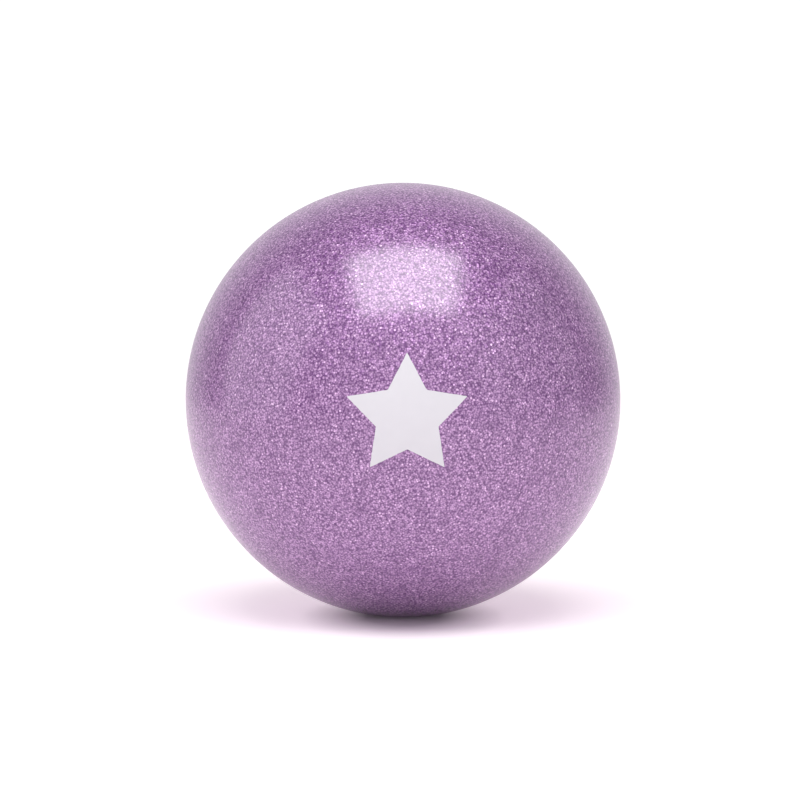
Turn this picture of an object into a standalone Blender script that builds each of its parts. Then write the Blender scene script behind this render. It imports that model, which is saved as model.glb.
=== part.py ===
"""Hollow soft-plastic play ball with a plugged air valve and a printed star.

Units are metres and +Z is up. The origin is the centre of the flat patch that the soft
ball rests on, so the ball stands on Z = 0. The star faces -Y and the valve faces +Y.
"""

import math

import bmesh
import bpy

# Ball
BALL_DIAMETER = 0.100
WALL = 0.0022
REST_PATCH_DIAMETER = 0.016  # the soft wall flattens this far where it carries the weight

# Printed star
STAR_RADIUS = 0.0139  # centre to tip
STAR_NOTCH_RADIUS = 0.0072  # centre to the corner between two points
STAR_POINTS = 5
STAR_TIP_ROUNDING = 0.0004
STAR_RISE = 1.8  # degrees that the star's centre lies above the ball's equator
PRINT_THICKNESS = 0.0002

# Plug that closes the valve
PLUG_HEAD_DIAMETER = 0.0054
PLUG_HEAD_THICKNESS = 0.0010
PLUG_HEAD_DOME = 0.0002
PLUG_STEM_DIAMETER = 0.0022
PLUG_RIDGES = 3
PLUG_RIDGE_HEIGHT = 0.0003
PLUG_RIDGE_WIDTH = 0.0012
PLUG_TIP_LENGTH = 0.0010
PLUG_OVERHANG = 0.0009  # how far the tip passes the valve body's inner end

# Valve body, a soft insert that the wall is moulded around
VALVE_RIM_WIDTH = 0.0016  # from the plug's recess to the flange's edge
VALVE_RIM_ROUNDING = 0.0003
VALVE_FLOOR = 0.0007  # under the plug's recess, in the flange
VALVE_TUBE_WALL = 0.0015
VALVE_LIP_HEIGHT = 0.0010  # the lip behind the boss keeps the valve body in place
VALVE_LIP_LENGTH = 0.0016
VALVE_SETBACK = 0.0001  # how far the flange's edge lies below the ball's surface
NAIL_NOTCH_RADIUS = 0.0008  # hollow beside the head, where a fingernail lifts the plug

# Boss, the thickened seat for the valve body on the inside of the wall
BOSS_WALL = 0.0020
BOSS_HEIGHT = 0.0048  # from the wall's inner face to the boss's inner end
BOSS_CHAMFER = 0.0010

TOUCH_GAP = 0.0003  # clearance wherever two pieces meet
CUTTER_OVERRUN = 0.0020  # how far a cutter runs past what it cuts

# Facets
BALL_SEGMENTS = 48
RINGS_ABOVE_EQUATOR = 12
RINGS_BELOW_EQUATOR = 11
CAP_SEGMENTS = 48
CAP_RINGS = 8
VALVE_SEGMENTS = 32
NOTCH_SEGMENTS = 16
TIP_SEGMENTS = 3
SHARP_ANGLE = math.radians(35)

# Sizes that follow from the driving ones
ball_radius = BALL_DIAMETER / 2
patch_radius = REST_PATCH_DIAMETER / 2
centre_height = math.sqrt(ball_radius**2 - patch_radius**2)
head_radius = PLUG_HEAD_DIAMETER / 2
stem_radius = PLUG_STEM_DIAMETER / 2
recess_radius = head_radius + TOUCH_GAP
flange_radius = recess_radius + VALVE_RIM_WIDTH
bore_radius = stem_radius + PLUG_RIDGE_HEIGHT + TOUCH_GAP
tube_radius = bore_radius + VALVE_TUBE_WALL
lip_radius = tube_radius + VALVE_LIP_HEIGHT
boss_radius = flange_radius + TOUCH_GAP + BOSS_WALL

# Heights along the valve's axis: 0 is the ball's surface, and below 0 is inside the ball
valve_face = math.sqrt(ball_radius**2 - flange_radius**2) - ball_radius - VALVE_SETBACK
stem_start = valve_face - PLUG_HEAD_THICKNESS
recess_floor = stem_start - TOUCH_GAP
flange_back = recess_floor - VALVE_FLOOR
boss_end = -WALL - BOSS_HEIGHT
lip_start = boss_end - TOUCH_GAP
valve_end = lip_start - VALVE_LIP_LENGTH
stem_end = valve_end - PLUG_OVERHANG


def clear_scene():
    for item in list(bpy.data.objects):
        bpy.data.objects.remove(item, do_unlink=True)


def plastic(name, color, roughness, metallic=0.0):
    material = bpy.data.materials.new(name)
    material.use_nodes = True
    shader = material.node_tree.nodes["Principled BSDF"]
    shader.inputs["Base Color"].default_value = (*color, 1.0)
    shader.inputs["Roughness"].default_value = roughness
    shader.inputs["Metallic"].default_value = metallic
    return material


def arc(radius, start, end, steps, centre=0.0):
    """(x, z) points on a circle about (0, centre), by degrees down from its top."""
    points = []
    for step in range(steps + 1):
        angle = math.radians(start + (end - start) * step / steps)
        points.append((radius * math.sin(angle), centre + radius * math.cos(angle)))
    return points


def finish_object(name, shape, parent=None):
    """The bmesh as an object, shaded smooth across its shallow edges."""
    mesh = bpy.data.meshes.new(name)
    shape.to_mesh(mesh)
    shape.free()
    mesh.shade_smooth()
    mesh.set_sharp_from_angle(angle=SHARP_ANGLE)
    item = bpy.data.objects.new(name, mesh)
    item.parent = parent
    bpy.context.scene.collection.objects.link(item)
    return item


def turned(name, outline, segments, parent=None, ring=False):
    """Turn (x, z) points about Z. A ring's outline closes on itself, clear of the axis."""
    shape = bmesh.new()
    corners = [shape.verts.new((x, 0.0, z)) for x, z in outline]
    ends = corners[1:] + corners[:1] if ring else corners[1:]
    edges = [shape.edges.new(pair) for pair in zip(corners, ends)]
    bmesh.ops.spin(
        shape,
        geom=corners + edges,
        cent=(0, 0, 0),
        axis=(0, 0, 1),
        angle=math.tau,
        steps=segments,
        use_merge=True,
    )
    bmesh.ops.remove_doubles(shape, verts=shape.verts, dist=1e-6)
    bmesh.ops.recalc_face_normals(shape, faces=shape.faces)
    return finish_object(name, shape, parent)


def axis_empty(name, location, turn_about_x):
    """An empty whose local +Z is the axis that its pieces are turned about."""
    empty = bpy.data.objects.new(name, None)
    empty.location = location
    empty.rotation_euler.x = math.radians(turn_about_x)
    bpy.context.scene.collection.objects.link(empty)
    return empty


def boolean(item, operation, helper):
    """Join or cut the item with a helper, which stays hidden."""
    helper.hide_render = True
    helper.display_type = "WIRE"
    modifier = item.modifiers.new(f"{operation.title()} {helper.name}", "BOOLEAN")
    modifier.operation = operation
    modifier.solver = "EXACT"
    modifier.object = helper


def valve_boss(valve_axis):
    """The thickened seat on the inside of the wall. Its outer end lies within the wall."""
    middle_of_wall = ball_radius - WALL / 2
    boss_start = math.sqrt(middle_of_wall**2 - boss_radius**2) - ball_radius
    outline = [
        (0.0, boss_start),
        (boss_radius, boss_start),
        (boss_radius, boss_end + BOSS_CHAMFER),
        (boss_radius - BOSS_CHAMFER, boss_end),
        (0.0, boss_end),
    ]
    return turned("boss_helper", outline, VALVE_SEGMENTS, valve_axis)


def valve_seat_cutter(valve_axis):
    """The stepped hole that the valve body fills."""
    outline = [
        (0.0, CUTTER_OVERRUN),
        (flange_radius + TOUCH_GAP, CUTTER_OVERRUN),
        (flange_radius + TOUCH_GAP, flange_back - TOUCH_GAP),
        (tube_radius + TOUCH_GAP, flange_back - TOUCH_GAP),
        (tube_radius + TOUCH_GAP, boss_end - CUTTER_OVERRUN),
        (0.0, boss_end - CUTTER_OVERRUN),
    ]
    return turned("valve_seat_cutter", outline, VALVE_SEGMENTS, valve_axis)


def make_ball_shell(valve_axis):
    patch_edge = 180 - math.degrees(math.asin(patch_radius / ball_radius))
    outline = arc(ball_radius, 0, 90, RINGS_ABOVE_EQUATOR, centre_height)
    outline += arc(ball_radius, 90, patch_edge, RINGS_BELOW_EQUATOR, centre_height)[1:]
    outline.append((0.0, 0.0))
    shell = turned("ball_shell", outline, BALL_SEGMENTS)
    wall = shell.modifiers.new("Wall", "SOLIDIFY")
    wall.thickness = WALL
    wall.offset = -1.0
    wall.use_even_offset = True
    boolean(shell, "UNION", valve_boss(valve_axis))
    boolean(shell, "DIFFERENCE", valve_seat_cutter(valve_axis))
    shell.data.materials.append(plastic("glitter_pvc", (0.36, 0.19, 0.42), 0.35, 0.4))


def make_valve_body(valve_axis):
    outline = [
        (bore_radius, valve_end),
        (tube_radius, valve_end),
        (lip_radius, lip_start - VALVE_LIP_LENGTH / 2),
        (lip_radius, lip_start),
        (tube_radius, lip_start),
        (tube_radius, flange_back),
        (flange_radius, flange_back),
        (flange_radius, valve_face - VALVE_RIM_ROUNDING),
        (flange_radius - VALVE_RIM_ROUNDING, valve_face),
        (recess_radius, valve_face),
        (recess_radius, recess_floor),
        (bore_radius, recess_floor),
    ]
    body = turned("valve_body", outline, VALVE_SEGMENTS, valve_axis, ring=True)
    notch = bmesh.new()
    bmesh.ops.create_uvsphere(
        notch,
        u_segments=NOTCH_SEGMENTS,
        v_segments=NOTCH_SEGMENTS // 2,
        radius=NAIL_NOTCH_RADIUS,
    )
    cutter = finish_object("nail_notch_cutter", notch, valve_axis)
    cutter.location = (0.0, -recess_radius, valve_face)
    boolean(body, "DIFFERENCE", cutter)
    body.data.materials.append(plastic("soft_valve_pvc", (0.72, 0.70, 0.74), 0.45))


def make_valve_plug(valve_axis):
    """The stopper. Its origin is on the axis that it is pulled out along."""
    rounding = PLUG_HEAD_THICKNESS / 4
    outline = [
        (0.0, valve_face + PLUG_HEAD_DOME),
        (head_radius / 2, valve_face + PLUG_HEAD_DOME * 3 / 4),
        (head_radius - rounding, valve_face),
        (head_radius, valve_face - rounding),
        (head_radius, stem_start),
        (stem_radius, stem_start),
    ]
    pitch = (stem_start - stem_end - PLUG_TIP_LENGTH) / (PLUG_RIDGES + 1)
    for ridge in range(PLUG_RIDGES):
        crest = stem_start - pitch * (ridge + 1)
        outline += [
            (stem_radius, crest + PLUG_RIDGE_WIDTH / 4),
            (stem_radius + PLUG_RIDGE_HEIGHT, crest),
            (stem_radius, crest - PLUG_RIDGE_WIDTH * 3 / 4),
        ]
    outline += [
        (stem_radius, stem_end + PLUG_TIP_LENGTH),
        (stem_radius / 2, stem_end),
        (0.0, stem_end),
    ]
    plug = turned("valve_plug", outline, VALVE_SEGMENTS, valve_axis)
    plug.data.materials.append(plastic("plug_plastic", (0.80, 0.78, 0.82), 0.4))


def star_prism(star_axis, bottom, top):
    """An upright star prism between two heights, with its tips rounded."""
    shape = bmesh.new()
    corners = []
    for corner in range(2 * STAR_POINTS):
        radius = STAR_NOTCH_RADIUS if corner % 2 else STAR_RADIUS
        angle = math.radians(90) + math.pi * corner / STAR_POINTS
        position = (radius * math.cos(angle), radius * math.sin(angle), bottom)
        corners.append(shape.verts.new(position))
    shape.faces.new(corners)
    bmesh.ops.bevel(
        shape,
        geom=corners[::2],
        offset=STAR_TIP_ROUNDING,
        affect="VERTICES",
        segments=TIP_SEGMENTS,
        profile=0.5,
        material=-1,
    )
    extruded = bmesh.ops.extrude_face_region(shape, geom=shape.faces[:])
    raised = [part for part in extruded["geom"] if isinstance(part, bmesh.types.BMVert)]
    bmesh.ops.translate(shape, verts=raised, vec=(0.0, 0.0, top - bottom))
    bmesh.ops.recalc_face_normals(shape, faces=shape.faces)
    return finish_object("star_helper", shape, star_axis)


def make_star_print(star_axis):
    """A cap of ink that follows the ball's surface, trimmed to the star's outline."""
    inner = ball_radius + TOUCH_GAP
    outer = inner + PRINT_THICKNESS
    spread = 1.2 * math.degrees(math.asin(STAR_RADIUS / ball_radius))
    outline = arc(outer, 0, spread, CAP_RINGS) + arc(inner, spread, 0, CAP_RINGS)
    star = turned("star_print", outline, CAP_SEGMENTS, star_axis)
    cap_rim = inner * math.cos(math.radians(spread))
    bottom = cap_rim - CUTTER_OVERRUN
    boolean(star, "INTERSECT", star_prism(star_axis, bottom, outer + CUTTER_OVERRUN))
    star.data.materials.append(plastic("white_ink", (0.81, 0.79, 0.84), 0.3))


def main():
    clear_scene()
    centre = (0.0, 0.0, centre_height)
    valve_mouth = (0.0, ball_radius, centre_height)
    valve_axis = axis_empty("valve_axis", valve_mouth, -90)  # local +Z is world +Y
    star_axis = axis_empty("star_axis", centre, 90 - STAR_RISE)  # local +Z is near world -Y
    make_ball_shell(valve_axis)
    make_valve_body(valve_axis)
    make_valve_plug(valve_axis)
    make_star_print(star_axis)


main()
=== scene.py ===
import math
import bpy
import bmesh
from mathutils import Matrix, Vector, noise


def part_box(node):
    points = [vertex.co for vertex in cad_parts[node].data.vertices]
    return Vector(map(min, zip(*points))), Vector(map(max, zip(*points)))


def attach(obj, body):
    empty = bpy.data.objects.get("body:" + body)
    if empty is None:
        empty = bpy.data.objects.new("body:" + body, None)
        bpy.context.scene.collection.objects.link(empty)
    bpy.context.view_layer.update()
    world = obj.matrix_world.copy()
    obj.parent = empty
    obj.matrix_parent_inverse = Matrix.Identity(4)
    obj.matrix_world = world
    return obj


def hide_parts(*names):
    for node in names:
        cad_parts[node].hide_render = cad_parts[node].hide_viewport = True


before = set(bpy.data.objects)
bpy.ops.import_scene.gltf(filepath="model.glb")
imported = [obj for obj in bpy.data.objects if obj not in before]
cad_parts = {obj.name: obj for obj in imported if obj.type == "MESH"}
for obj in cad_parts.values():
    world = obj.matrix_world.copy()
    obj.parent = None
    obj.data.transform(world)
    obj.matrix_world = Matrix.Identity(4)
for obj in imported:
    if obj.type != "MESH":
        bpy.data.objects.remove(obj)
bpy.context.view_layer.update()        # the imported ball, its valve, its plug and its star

shellLow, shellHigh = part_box("ball_shell")
insertLow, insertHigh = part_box("valve_body")
plugLow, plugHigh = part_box("valve_plug")
starLow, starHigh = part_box("star_print")

ballRadius = (shellHigh.x - shellLow.x) / 2
centre = Vector((0, 0, shellHigh.z - ballRadius))
backPole = centre.y + ballRadius                 # the valve comes out here
valveAxis = Vector((0, 1, 0))
onePoint = 1e-6        # corners this close are one corner
onPlane = 1e-7         # a corner this close to a cut lies on it
print("frame read: ball radius", round(ballRadius, 5))


def newPiece(name, shape, material, body, smoothUnder=40):
    mesh = bpy.data.meshes.new(name)
    shape.to_mesh(mesh)
    shape.free()
    mesh.shade_smooth()
    mesh.set_sharp_from_angle(angle=math.radians(smoothUnder))
    mesh.materials.append(material)
    piece = bpy.data.objects.new(name, mesh)
    bpy.context.scene.collection.objects.link(piece)
    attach(piece, body)
    return piece


def swing(shape, start, angle, steps):
    # swings one point round the ball's centre, in the plane of the valve's axis
    done = bmesh.ops.spin(shape, geom=[start], cent=centre, axis=(1, 0, 0), angle=angle, steps=steps)
    return [part for part in done["geom_last"] if isinstance(part, bmesh.types.BMVert)][0]


def runOn(shape, start, stops):
    # carries a turned outline on through a few stops: (distance from the axis, place along it)
    for radius, along in stops:
        corner = shape.verts.new((centre.x, along, centre.z + radius))
        shape.edges.new((start, corner))
        start = corner
    return start


def turnOnAxis(shape, steps):
    # turns the outline once round the valve's axis and closes it
    bmesh.ops.spin(shape, geom=shape.verts[:] + shape.edges[:], cent=centre, axis=valveAxis,
                   angle=math.tau, steps=steps, use_merge=True)
    bmesh.ops.remove_doubles(shape, verts=shape.verts, dist=onePoint)
    bmesh.ops.recalc_face_normals(shape, faces=shape.faces)


def liesOnRing(point, radius, along, within=2e-5):
    offAxis = math.hypot(point.x - centre.x, point.z - centre.z)
    return abs(offAxis - radius) < within and abs(point.y - along) < within


def roundRing(shape, radius, along, offset, segments):
    # rounds the turned edge that runs at this radius and place
    ring = [e for e in shape.edges if all(liesOnRing(v.co, radius, along) for v in e.verts)]
    bmesh.ops.bevel(shape, geom=ring, offset=offset, segments=segments, affect="EDGES",
                    profile=0.5, material=-1, clamp_overlap=True)


def cutAcross(shape, parts, point, direction):
    # adds a line of edges where a plane meets these parts
    bmesh.ops.bisect_plane(shape, geom=parts, dist=onPlane, plane_co=point, plane_no=direction)


def everything(shape):
    return shape.verts[:] + shape.edges[:] + shape.faces[:]


def newGroup(name, inputs, outputs):
    group = bpy.data.node_groups.new(name, "ShaderNodeTree")
    for label, kind, value in inputs:
        socket = group.interface.new_socket(name=label, in_out="INPUT", socket_type=kind)
        if value is not None:
            socket.default_value = value
    for label, kind in outputs:
        group.interface.new_socket(name=label, in_out="OUTPUT", socket_type=kind)
    return group, group.nodes.new("NodeGroupInput"), group.nodes.new("NodeGroupOutput")


def addNode(tree, kind, **settings):
    node = tree.nodes.new(kind)
    for key, value in settings.items():
        setattr(node, key, value)
    return node


def joinUp(tree, *pairs):
    for source, target in pairs:
        tree.links.new(source, target)


def vectorMath(tree, operation, first, second=None):
    node = addNode(tree, "ShaderNodeVectorMath", operation=operation)
    for place, value in enumerate((first, second)):
        if value is None:
            continue
        if isinstance(value, bpy.types.NodeSocket):
            tree.links.new(value, node.inputs[place])
        else:
            node.inputs[place].default_value = value
    return node


def mapRange(tree, value, fromLow, fromHigh, toLow, toHigh):
    node = addNode(tree, "ShaderNodeMapRange")
    tree.links.new(value, node.inputs["Value"])
    ends = {"From Min": fromLow, "From Max": fromHigh, "To Min": toLow, "To Max": toHigh}
    for label, number in ends.items():
        if isinstance(number, bpy.types.NodeSocket):
            tree.links.new(number, node.inputs[label])
        else:
            node.inputs[label].default_value = number
    return node.outputs["Result"]


def multiply(tree, first, second, plus=0.0):
    node = addNode(tree, "ShaderNodeMath", operation="MULTIPLY_ADD")
    for place, value in enumerate((first, second, plus)):
        if isinstance(value, bpy.types.NodeSocket):
            tree.links.new(value, node.inputs[place])
        else:
            node.inputs[place].default_value = value
    return node.outputs[0]


flakes = {
    "body": (0.28, 0.75),        # how far from its middle a flake is whole, and gone, in cells
    "dullest": 0.25,             # how much the dullest one shows
    "brightBody": (0.45, 0.60),  # the same reach for the few bright ones
    "pickEdge": 0.01,            # how sharply those are told from the rest
}


def makeFlakeGroup():
    # one layer of flakes: each cell holds a flake with its own tilt and brightness, and a dark gap round it
    group, given, made = newGroup(
        "flakeLayer",
        [("place", "NodeSocketVector", None), ("surface", "NodeSocketVector", None),
         ("flakesPerMetre", "NodeSocketFloat", 2200.0), ("tilt", "NodeSocketFloat", 0.3),
         ("brightShare", "NodeSocketFloat", 0.1)],
        [("facing", "NodeSocketVector"), ("lit", "NodeSocketFloat"), ("bright", "NodeSocketFloat")])
    cells = addNode(group, "ShaderNodeTexVoronoi", voronoi_dimensions="3D", feature="F1")
    joinUp(group, (given.outputs["place"], cells.inputs["Vector"]),
           (given.outputs["flakesPerMetre"], cells.inputs["Scale"]))
    centred = vectorMath(group, "SUBTRACT", cells.outputs["Color"], (0.5, 0.5, 0.5))
    tilted = vectorMath(group, "SCALE", centred.outputs[0])
    joinUp(group, (given.outputs["tilt"], tilted.inputs["Scale"]))
    leaning = vectorMath(group, "ADD", given.outputs["surface"], tilted.outputs[0])
    facing = vectorMath(group, "NORMALIZE", leaning.outputs[0])
    dice = addNode(group, "ShaderNodeTexWhiteNoise", noise_dimensions="3D")
    joinUp(group, (cells.outputs["Position"], dice.inputs["Vector"]),
           (facing.outputs[0], made.inputs["facing"]))
    body = mapRange(group, cells.outputs["Distance"], *flakes["body"], 1.0, 0.0)
    shows = mapRange(group, dice.outputs["Value"], 0.0, 1.0, flakes["dullest"], 1.0)
    brightBody = mapRange(group, cells.outputs["Distance"], *flakes["brightBody"], 1.0, 0.0)
    dull = multiply(group, given.outputs["brightShare"], -1.0, 1.0)
    notDull = multiply(group, dull, 1.0, flakes["pickEdge"])
    picked = mapRange(group, dice.outputs["Value"], dull, notDull, 0.0, 1.0)
    joinUp(group, (multiply(group, body, shows), made.inputs["lit"]),
           (multiply(group, brightBody, picked), made.inputs["bright"]))
    return group


mottle = {
    "detail": 3.0,
    "roughness": 0.55,
    "reach": (0.3, 0.7),         # the noise between these runs from 0 to 1
}


def makeMottleGroup():
    # slow change over the surface, between 0 and 1
    group, given, made = newGroup(
        "slowMottle",
        [("place", "NodeSocketVector", None), ("patchesPerMetre", "NodeSocketFloat", 180.0)],
        [("amount", "NodeSocketFloat")])
    clouds = addNode(group, "ShaderNodeTexNoise", noise_dimensions="3D")
    clouds.inputs["Detail"].default_value = mottle["detail"]
    clouds.inputs["Roughness"].default_value = mottle["roughness"]
    joinUp(group, (given.outputs["place"], clouds.inputs["Vector"]),
           (given.outputs["patchesPerMetre"], clouds.inputs["Scale"]),
           (mapRange(group, clouds.outputs["Fac"], *mottle["reach"], 0.0, 1.0), made.inputs["amount"]))
    return group


flakeLayer = makeFlakeGroup()
slowMottle = makeMottleGroup()


def useGroup(tree, group, place, **values):
    node = addNode(tree, "ShaderNodeGroup", node_tree=group)
    tree.links.new(place, node.inputs["place"])
    for label, value in values.items():
        node.inputs[label].default_value = value
    return node


def newMaterial(name):
    material = bpy.data.materials.new(name)
    material.use_nodes = True
    tree = material.node_tree
    shader = tree.nodes["Principled BSDF"]
    place = addNode(tree, "ShaderNodeTexCoord").outputs["Object"]
    return material, tree, shader, place


def mixColours(tree, factor, first, second):
    node = addNode(tree, "ShaderNodeMix", data_type="RGBA", blend_type="MIX")
    for label, value in (("Factor", factor), ("A", first), ("B", second)):
        socket = [s for s in node.inputs if s.name == label and s.enabled][0]
        if isinstance(value, bpy.types.NodeSocket):
            tree.links.new(value, socket)
        else:
            socket.default_value = (*value, 1.0) if label != "Factor" else value
    return [s for s in node.outputs if s.enabled][0]


glitter = {
    "deep": (0.114, 0.024, 0.155),       # the clear purple PVC between flakes
    "flake": (0.81, 0.50, 0.85),         # a flake seen through it
    "bright": (0.80, 0.54, 0.82),        # one of the few flakes that lie near the surface
    "flakesPerMetre": 2250.0,
    "tilt": 0.60,
    "dustPerMetre": 3400.0,             # the finer flakes among them
    "dustShare": 0.16,
    "brightShare": 0.035,
    "mottlesPerMetre": 210.0,
    "mottleDepth": 0.20,
    "metallic": (0.45, 0.50),           # of ordinary flakes, and of the bright ones
    "roughness": (0.50, 0.44),
    "coatRoughness": 0.21,
    "coatIor": 1.75,
}


def makeGlitterPvc():
    material, tree, shader, place = newMaterial("glitterPvc")
    surface = addNode(tree, "ShaderNodeNewGeometry").outputs["Normal"]
    coarse = useGroup(tree, flakeLayer, place, flakesPerMetre=glitter["flakesPerMetre"],
                      tilt=glitter["tilt"], brightShare=glitter["brightShare"])
    fine = useGroup(tree, flakeLayer, place, flakesPerMetre=glitter["dustPerMetre"])
    joinUp(tree, (surface, coarse.inputs["surface"]), (surface, fine.inputs["surface"]))
    patches = useGroup(tree, slowMottle, place, patchesPerMetre=glitter["mottlesPerMetre"])
    grain = mixColours(tree, coarse.outputs["lit"], glitter["deep"], glitter["flake"])
    dust = mixColours(tree, fine.outputs["lit"], glitter["deep"], glitter["flake"])
    both = mixColours(tree, glitter["dustShare"], grain, dust)
    shade = mapRange(tree, patches.outputs["amount"], 0.0, 1.0, 0.0, glitter["mottleDepth"])
    cloudy = mixColours(tree, shade, both, glitter["deep"])
    bright = coarse.outputs["bright"]
    joinUp(tree, (mixColours(tree, bright, cloudy, glitter["bright"]), shader.inputs["Base Color"]),
           (coarse.outputs["facing"], shader.inputs["Normal"]),
           (mapRange(tree, bright, 0.0, 1.0, *glitter["metallic"]), shader.inputs["Metallic"]),
           (mapRange(tree, bright, 0.0, 1.0, *glitter["roughness"]), shader.inputs["Roughness"]))
    shader.inputs["Specular IOR Level"].default_value = 0.0    # the gloss is all in the clear skin on top
    shader.inputs["Coat Weight"].default_value = 1.0
    shader.inputs["Coat Roughness"].default_value = glitter["coatRoughness"]
    shader.inputs["Coat IOR"].default_value = glitter["coatIor"]
    return material


ink = {
    "thin": (0.655, 0.655, 0.68),
    "thick": (0.675, 0.675, 0.70),
    "patchesPerMetre": 260.0,
    "roughness": (0.42, 0.50),
    "gloss": 0.3,
}


def makeWhiteInk():
    material, tree, shader, place = newMaterial("whiteInk")
    shader.inputs["Specular IOR Level"].default_value = ink["gloss"]
    amount = useGroup(tree, slowMottle, place, patchesPerMetre=ink["patchesPerMetre"]).outputs["amount"]
    joinUp(tree, (mixColours(tree, amount, ink["thin"], ink["thick"]), shader.inputs["Base Color"]),
           (mapRange(tree, amount, 0.0, 1.0, *ink["roughness"]), shader.inputs["Roughness"]))
    return material


milky = {
    "valve": {"colour": (0.66, 0.62, 0.69), "paler": (0.74, 0.71, 0.77), "roughness": (0.38, 0.50)},
    "plug": {"colour": (0.76, 0.74, 0.79), "paler": (0.83, 0.81, 0.85), "roughness": (0.32, 0.44)},
    "patchesPerMetre": 900.0,
    "bumpHeight": 0.00002,
    "bumpStrength": 0.4,
}


def makeMilkyPvc(name, finish):
    material, tree, shader, place = newMaterial(name)
    amount = useGroup(tree, slowMottle, place, patchesPerMetre=milky["patchesPerMetre"]).outputs["amount"]
    bump = addNode(tree, "ShaderNodeBump")
    bump.inputs["Distance"].default_value = milky["bumpHeight"]
    bump.inputs["Strength"].default_value = milky["bumpStrength"]
    joinUp(tree, (mixColours(tree, amount, finish["colour"], finish["paler"]), shader.inputs["Base Color"]),
           (mapRange(tree, amount, 0.0, 1.0, *finish["roughness"]), shader.inputs["Roughness"]),
           (amount, bump.inputs["Height"]), (bump.outputs["Normal"], shader.inputs["Normal"]))
    return material


glitterPvc = makeGlitterPvc()
whiteInk = makeWhiteInk()
valvePvc = makeMilkyPvc("valvePvc", milky["valve"])
plugPvc = makeMilkyPvc("plugPvc", milky["plug"])
print("materials made")


skin = {
    "wall": 0.0022,
    "stepsAround": 224,
    "stepsAlong": 128,
    "insideStepsAlong": 48,
    "seatGap": 0.00008,        # between the wall and the valve set in it
    "mouthRounding": 0.00045,
    "mouthSteps": 4,
    "bossWall": 0.0020,
    "bossChamfer": 0.0010,
    "tubeRadius": 0.0032,      # the valve's tube where it goes through the boss
    "seatDepth": 0.0024,
    "bossDepth": 0.0070,
    "partingWidth": 0.0006,    # the mould's parting line, round the ball midway
    "partingHeight": 0.00004,
}


def makeGlitterSkin():
    shape = bmesh.new()
    seatRadius = (insertHigh.x - insertLow.x) / 2 + skin["seatGap"]
    tubeHole = skin["tubeRadius"] + skin["seatGap"]
    bossRadius = seatRadius + skin["bossWall"]
    mouthAngle = math.asin(seatRadius / ballRadius)
    insideRadius = ballRadius - skin["wall"]
    bossAngle = math.asin(bossRadius / insideRadius)
    frontPole = shape.verts.new(centre + Vector((0, -ballRadius, 0)))
    mouth = swing(shape, frontPole, mouthAngle - math.pi, skin["stepsAlong"])
    mouthAlong = mouth.co.y
    insidePole = shape.verts.new(centre + Vector((0, -insideRadius, 0)))
    insideEnd = swing(shape, insidePole, bossAngle - math.pi, skin["insideStepsAlong"])
    bossEdge = runOn(shape, mouth, [
        (seatRadius, backPole - skin["seatDepth"]),
        (tubeHole, backPole - skin["seatDepth"]),
        (tubeHole, backPole - skin["bossDepth"]),
        (bossRadius - skin["bossChamfer"], backPole - skin["bossDepth"]),
        (bossRadius, backPole - skin["bossDepth"] + skin["bossChamfer"]),
    ])
    shape.edges.new((bossEdge, insideEnd))
    turnOnAxis(shape, skin["stepsAround"])
    roundRing(shape, seatRadius, mouthAlong, skin["mouthRounding"], skin["mouthSteps"])
    addParting(shape)
    settleFoot(shape)
    bmesh.ops.recalc_face_normals(shape, faces=shape.faces)
    piece = newPiece("glitterSkin", shape, glitterPvc, "ball")
    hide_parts("ball_shell")
    return piece


def isOutside(point):
    return (point - centre).length > ballRadius - skin["wall"] / 2


def addParting(shape):
    # the faint line that the mould's two halves leave
    for offset in (-0.5, 0.0, 0.5):
        outside = [v for v in shape.verts if isOutside(v.co)]
        near = list(dict.fromkeys(e for v in outside for e in v.link_edges))
        faces = list(dict.fromkeys(f for e in near for f in e.link_faces))
        middle = centre.y + offset * skin["partingWidth"]
        cutAcross(shape, outside + near + faces, (0, middle, 0), valveAxis)
    for vert in shape.verts:
        if abs(vert.co.y - centre.y) < onePoint and isOutside(vert.co):
            vert.co += (vert.co - centre).normalized() * skin["partingHeight"]


def settleFoot(shape):
    # the soft wall lies flat where it rests, inside and out
    for height in (0.0, skin["wall"]):
        cutAcross(shape, everything(shape), (0, 0, height), (0, 0, 1))
    for vert in shape.verts:
        floorHere = 0.0 if isOutside(vert.co) else skin["wall"]
        vert.co.z = max(vert.co.z, floorHere)


glitterSkin = makeGlitterSkin()
print("glitter skin made:", len(glitterSkin.data.polygons), "faces")


starInk = {
    "points": 5,
    "notchShare": 0.0072 / 0.0139,   # the inner corners against the tips
    "rise": math.radians(1.8),       # how far its middle stands above the ball's own middle
    "tipReach": 0.00035,             # how far the print's sharp tips pass the frame's rounded ones
    "tipRounding": 0.00022,
    "tipSteps": 4,
    "notchRounding": 0.00025,
    "notchSteps": 3,
    "sunk": 0.00002,                 # the ink has keyed into the skin, so no gap shows under its edge
    "thickness": 0.00007,
    "meshSize": 0.0006,
    "meshShift": 0.37,               # in meshes, keeps its lines off the star's own corners
    "raggedness": 0.00006,           # the print's edge wanders over the flakes
    "raggedSize": 0.0009,
    "raggedSeed": 5,
}


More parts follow.
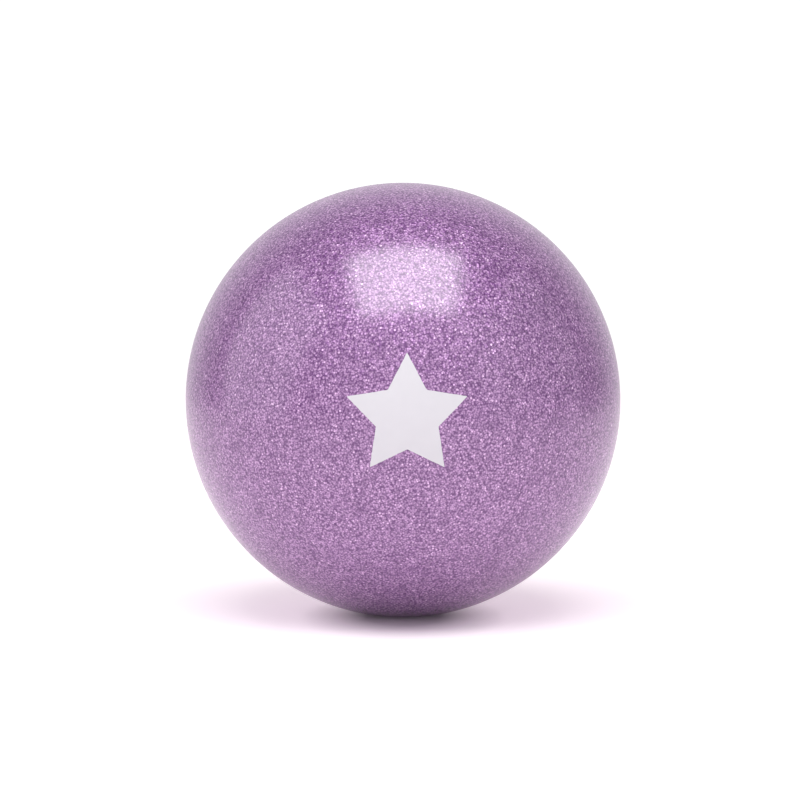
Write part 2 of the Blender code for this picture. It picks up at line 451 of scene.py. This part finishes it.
def makeStar():
    noise.seed_set(starInk["raggedSeed"])
    shape = bmesh.new()
    sideTipRise = math.tau / 4 - math.tau / starInk["points"]    # how far the side tips point above level
    tipRadius = (starHigh.x - starLow.x) / 2 / math.cos(sideTipRise) + starInk["tipReach"]
    bmesh.ops.create_circle(shape, cap_ends=True, segments=2 * starInk["points"], radius=tipRadius)
    corners = sorted(shape.verts, key=lambda v: math.atan2(v.co.y, v.co.x) % math.tau)
    for corner in corners[1::2]:
        corner.co *= starInk["notchShare"]
    bmesh.ops.bevel(shape, geom=corners[::2], offset=starInk["tipRounding"], segments=starInk["tipSteps"],
                    affect="VERTICES", profile=0.5, material=-1)
    notches = [v for v in shape.verts if v.co.length < tipRadius * starInk["notchShare"] + onPlane]
    bmesh.ops.bevel(shape, geom=notches, offset=starInk["notchRounding"], segments=starInk["notchSteps"],
                    affect="VERTICES", profile=0.5, material=-1)
    cuts = int(tipRadius / starInk["meshSize"])
    for across in ((1, 0, 0), (0, 1, 0)):
        for step in range(-cuts, cuts + 1):
            place = (step + starInk["meshShift"]) * starInk["meshSize"]
            cutAcross(shape, everything(shape), Vector(across) * place, across)
    for vert in shape.verts:
        if vert.is_boundary:
            wander = noise.noise_vector(vert.co / starInk["raggedSize"])
            vert.co += Vector((wander.x, wander.y, 0)) * starInk["raggedness"]
    bmesh.ops.triangulate(shape, faces=[f for f in shape.faces if len(f.verts) > 4])
    under = ballRadius - starInk["sunk"]
    for vert in shape.verts:
        vert.co.z = math.sqrt(under**2 - vert.co.x**2 - vert.co.y**2)
    raised = bmesh.ops.extrude_face_region(shape, geom=shape.faces[:])
    for part in raised["geom"]:
        if isinstance(part, bmesh.types.BMVert):
            part.co *= 1 + starInk["thickness"] / under
    toFront = Matrix.Translation(centre) @ Matrix.Rotation(math.radians(90) - starInk["rise"], 4, "X")
    bmesh.ops.transform(shape, matrix=toFront, verts=shape.verts)
    bmesh.ops.recalc_face_normals(shape, faces=shape.faces)
    piece = newPiece("starInk", shape, whiteInk, "ball")
    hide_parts("star_print")
    return piece


star = makeStar()
print("star made:", len(star.data.polygons), "faces")


insert = {
    "steps": 96,
    "recessRadius": 0.0030,
    "recessDepth": 0.0013,
    "boreRadius": 0.0017,
    "tubeRadius": 0.0032,
    "lipRadius": 0.0042,
    "lipLength": 0.0016,
    "flangeDepth": 0.0020,
    "flangeRounding": 0.00035,
    "recessRounding": 0.00028,
    "boreRounding": 0.00021,
    "faceSteps": 4,            # edges in each rounding on the valve's face
    "boreSteps": 3,
    "notchRadius": 0.0008,
}


def scoopNotch(shape, face):
    # a hollow in the recess's rim, where a nail gets under the plug's head
    rimHeight = centre.z + insert["recessRadius"]
    for vert in shape.verts:
        across = abs(vert.co.x - centre.x)
        if across >= insert["notchRadius"]:
            continue
        reach = math.sqrt(insert["notchRadius"]**2 - across**2)
        out = Vector((0, vert.co.y - face, vert.co.z - rimHeight))
        if 0 < out.length < reach:
            vert.co += out.normalized() * (reach - out.length)


def makeValveInsert():
    shape = bmesh.new()
    face, deepest = insertHigh.y, insertLow.y
    flangeRadius = (insertHigh.x - insertLow.x) / 2
    lipStart = deepest + insert["lipLength"]
    corners = [
        (insert["boreRadius"], deepest), (insert["tubeRadius"], deepest),
        (insert["lipRadius"], lipStart - insert["lipLength"] / 2), (insert["lipRadius"], lipStart),
        (insert["tubeRadius"], lipStart), (insert["tubeRadius"], face - insert["flangeDepth"]),
        (flangeRadius, face - insert["flangeDepth"]), (flangeRadius, face),
        (insert["recessRadius"], face), (insert["recessRadius"], face - insert["recessDepth"]),
        (insert["boreRadius"], face - insert["recessDepth"]),
    ]
    first = shape.verts.new((centre.x, corners[0][1], centre.z + corners[0][0]))
    last = runOn(shape, first, corners[1:])
    shape.edges.new((last, first))
    turnOnAxis(shape, insert["steps"])
    roundRing(shape, flangeRadius, face, insert["flangeRounding"], insert["faceSteps"])
    roundRing(shape, insert["recessRadius"], face, insert["recessRounding"], insert["faceSteps"])
    for along in (face - insert["recessDepth"], deepest):
        roundRing(shape, insert["boreRadius"], along, insert["boreRounding"], insert["boreSteps"])
    scoopNotch(shape, face)
    bmesh.ops.recalc_face_normals(shape, faces=shape.faces)
    piece = newPiece("valveInsert", shape, valvePvc, "ball")
    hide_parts("valve_body")
    return piece


plug = {
    "steps": 80,
    "headThickness": 0.0010,
    "dome": 0.0002,
    "domeStops": ((0.3, 0.06), (0.6, 0.3), (0.85, 0.7)),   # shares of the head's radius and the dome's fall
    "stemRadius": 0.0011,
    "ridges": 3,
    "ridgeHeight": 0.0003,
    "ridgeWidth": 0.0012,
    "ridgeLean": 0.25,         # how much of a ridge lies on the head's side of its crest
    "tipLength": 0.0010,
    "headRounding": 0.00025,
    "headSteps": 4,
    "underRounding": 0.00015,
    "underSteps": 3,
}


def makePlug():
    shape = bmesh.new()
    headRadius = (plugHigh.x - plugLow.x) / 2
    top, stemEnd = plugHigh.y, plugLow.y
    rim = top - plug["dome"]
    stemStart = rim - plug["headThickness"]
    pitch = (stemStart - stemEnd - plug["tipLength"]) / (plug["ridges"] + 1)
    stops = [(headRadius * out, top - plug["dome"] * fall) for out, fall in plug["domeStops"]]
    stops += [(headRadius, rim), (headRadius, stemStart), (plug["stemRadius"], stemStart)]
    for ridge in range(plug["ridges"]):
        crest = stemStart - pitch * (ridge + 1)
        stops += [(plug["stemRadius"], crest + plug["ridgeWidth"] * plug["ridgeLean"]),
                  (plug["stemRadius"] + plug["ridgeHeight"], crest),
                  (plug["stemRadius"], crest - plug["ridgeWidth"] * (1 - plug["ridgeLean"]))]
    stops += [(plug["stemRadius"], stemEnd + plug["tipLength"]),
              (plug["stemRadius"] / 2, stemEnd), (0.0, stemEnd)]
    first = shape.verts.new((centre.x, top, centre.z))
    runOn(shape, first, stops)
    turnOnAxis(shape, plug["steps"])
    roundRing(shape, headRadius, rim, plug["headRounding"], plug["headSteps"])
    roundRing(shape, headRadius, stemStart, plug["underRounding"], plug["underSteps"])
    bmesh.ops.recalc_face_normals(shape, faces=shape.faces)
    piece = newPiece("valvePlug", shape, plugPvc, "plug")
    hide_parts("valve_plug")
    return piece


valveInsert = makeValveInsert()
valvePlug = makePlug()
print("valve and plug made")


studio = {
    "floorSize": 2.0,
    "floorGap": 0.00003,         # under the ball's foot, so that the two faces don't lie in one plane
    "floorRoughness": 0.9,
    "floorGloss": 0.1,
    "fadeFrom": 0.40,            # the paper runs out into the white round it
    "fadeTo": 0.80,
    "floorShade": (0.80, 0.77, 0.79),
    "paintedFloorGlow": (0.45, 0.395, 0.42),    # painted light: a pale pink glow in the paper, though it is no lamp
    "paintedShadowGlow": (0.023, 0.020, 0.022), # painted shadow: the dim glow left where the ball stands
    "paintedGlowOnBall": 0.65,                  # the share of the painted glow that lights the ball; the camera sees all of it
    "glowFrom": 0.0085,                  # the painted glow sets in outwards from where the ball stands, leaving a painted shadow round its foot
    "glowTo": 0.024,
    "shadeMiddle": 0.008,                # the painted shadow's dark patch lies this far in front of the ball's foot
    "shadeWidth": 0.65,                  # the painted patch's width against its depth
    "roomTint": (1, 0.95, 1),
    "roomSides": 0.28,           # how bright the room stands to the sides, above and below
    "roomFront": 0.88,           # the pale wall behind the camera
    "roomBack": 0.82,            # the white paper behind the ball
    "frontEdges": (-0.80, -0.20),
    "backEdges": (0.50, 0.88),
    "whiteSeen": 1.1,            # what the camera sees of the room
    "topLight": {"size": (0.74, 0.62), "away": 0.86, "up": 72.0, "round": 3.0, "power": 6.2},
    "leftLight": {"size": (1.2, 1.5), "away": 1.3, "up": 20.0, "round": -86.0, "power": 5.4},
    "rightFill": {"size": (1.8, 1.6), "away": 1.4, "up": 20.0, "round": 75.0, "power": 3.2},
}


def makeFloor():
    shape = bmesh.new()
    bmesh.ops.create_grid(shape, x_segments=1, y_segments=1, size=studio["floorSize"] / 2)
    bmesh.ops.translate(shape, verts=shape.verts, vec=(0, 0, -studio["floorGap"]))
    mesh = bpy.data.meshes.new("floor")
    shape.to_mesh(mesh)
    shape.free()
    floor = bpy.data.objects.new("floor", mesh)
    bpy.context.scene.collection.objects.link(floor)
    material, tree, shader, place = newMaterial("floorPaper")
    shader.inputs["Base Color"].default_value = (*studio["floorShade"], 1)
    # the paper glows with painted light, dimmed into a painted shadow round the ball's foot
    shader.inputs["Emission Strength"].default_value = 1.0
    shader.inputs["Roughness"].default_value = studio["floorRoughness"]
    shader.inputs["Specular IOR Level"].default_value = studio["floorGloss"]
    spread = vectorMath(tree, "LENGTH", place).outputs["Value"]
    fromShade = vectorMath(tree, "ADD", place, (0, studio["shadeMiddle"], 0)).outputs[0]
    fromShade = vectorMath(tree, "MULTIPLY", fromShade, (1, studio["shadeWidth"], 1)).outputs[0]
    fromShade = vectorMath(tree, "LENGTH", fromShade).outputs["Value"]
    # painted shadow: the glow is dim near the ball's foot and full further out
    clear = mapRange(tree, fromShade, studio["glowFrom"], studio["glowTo"], 0.0, 1.0)
    # the camera sees the whole painted glow, while the ball is lit by only part of it
    seen = mapRange(tree, addNode(tree, "ShaderNodeLightPath").outputs["Is Camera Ray"], 0.0, 1.0,
                    studio["paintedGlowOnBall"], 1.0)
    glow = mixColours(tree, multiply(tree, seen, clear), studio["paintedShadowGlow"], studio["paintedFloorGlow"])
    whole = mapRange(tree, spread, studio["fadeFrom"], studio["fadeTo"], 1.0, 0.0)
    joinUp(tree, (whole, shader.inputs["Alpha"]), (glow, shader.inputs["Emission Color"]))
    mesh.materials.append(material)


def aimedAt(place, target):
    return (target - place).to_track_quat("-Z", "Y")


def makeSoftbox(name, settings):
    # "round" turns from the camera's side, negative to its left; "up" is above the horizon
    lamp = bpy.data.lights.new(name, "AREA")
    lamp.shape = "RECTANGLE"
    lamp.size, lamp.size_y = settings["size"]
    lamp.energy = settings["power"]
    box = bpy.data.objects.new(name, lamp)
    up, around = math.radians(settings["up"]), math.radians(settings["round"])
    out = Vector((math.sin(around) * math.cos(up), -math.cos(around) * math.cos(up), math.sin(up)))
    box.location = centre + out * settings["away"]
    box.rotation_mode = "QUATERNION"
    box.rotation_quaternion = aimedAt(box.location, centre)
    bpy.context.scene.collection.objects.link(box)


def makeWorld():
    world = bpy.data.worlds.new("studio")
    world.use_nodes = True
    tree = world.node_tree
    ground = tree.nodes["Background"]
    ground.inputs["Color"].default_value = (*studio["roomTint"], 1)
    outward = addNode(tree, "ShaderNodeTexCoord").outputs["Generated"]
    along = addNode(tree, "ShaderNodeSeparateXYZ")
    sides = studio["roomSides"]
    front = mapRange(tree, along.outputs["Y"], *studio["frontEdges"], studio["roomFront"], sides)
    back = mapRange(tree, along.outputs["Y"], *studio["backEdges"], 0.0, studio["roomBack"] - sides)
    joinUp(tree, (outward, along.inputs[0]),
           (multiply(tree, front, 1.0, back), ground.inputs["Strength"]))
    seen = addNode(tree, "ShaderNodeBackground")
    seen.inputs["Color"].default_value = (1, 1, 1, 1)
    seen.inputs["Strength"].default_value = studio["whiteSeen"]
    path = addNode(tree, "ShaderNodeLightPath")
    choice = addNode(tree, "ShaderNodeMixShader")
    joinUp(tree, (path.outputs["Is Camera Ray"], choice.inputs["Fac"]),
           (ground.outputs[0], choice.inputs[1]), (seen.outputs[0], choice.inputs[2]),
           (choice.outputs[0], tree.nodes["World Output"].inputs["Surface"]))
    bpy.context.scene.world = world


camera = {
    "away": 1.2,
    "up": math.radians(6.0),
    "round": math.radians(-1.06),
    "lens": 234.5,
    "sensorWidth": 36.0,
    "clip": (0.05, 50.0),
    "aimLeft": 0.00071,
}


def makeCamera():
    data = bpy.data.cameras.new("camera")
    data.lens = camera["lens"]
    data.sensor_width = camera["sensorWidth"]
    data.clip_start, data.clip_end = camera["clip"]
    eye = bpy.data.objects.new("camera", data)
    up, around = camera["up"], camera["round"]
    out = Vector((math.sin(around) * math.cos(up), -math.cos(around) * math.cos(up), math.sin(up)))
    eye.location = centre + out * camera["away"]
    eye.rotation_mode = "QUATERNION"
    sideways = Vector((math.cos(around), math.sin(around), 0))
    eye.rotation_quaternion = aimedAt(eye.location, centre - sideways * camera["aimLeft"])
    bpy.context.scene.collection.objects.link(eye)
    bpy.context.scene.camera = eye


makeFloor()
makeSoftbox("topLight", studio["topLight"])
makeSoftbox("leftLight", studio["leftLight"])
makeSoftbox("rightFill", studio["rightFill"])
makeWorld()
makeCamera()
bpy.context.scene.view_settings.view_transform = "Standard"
print("studio made")
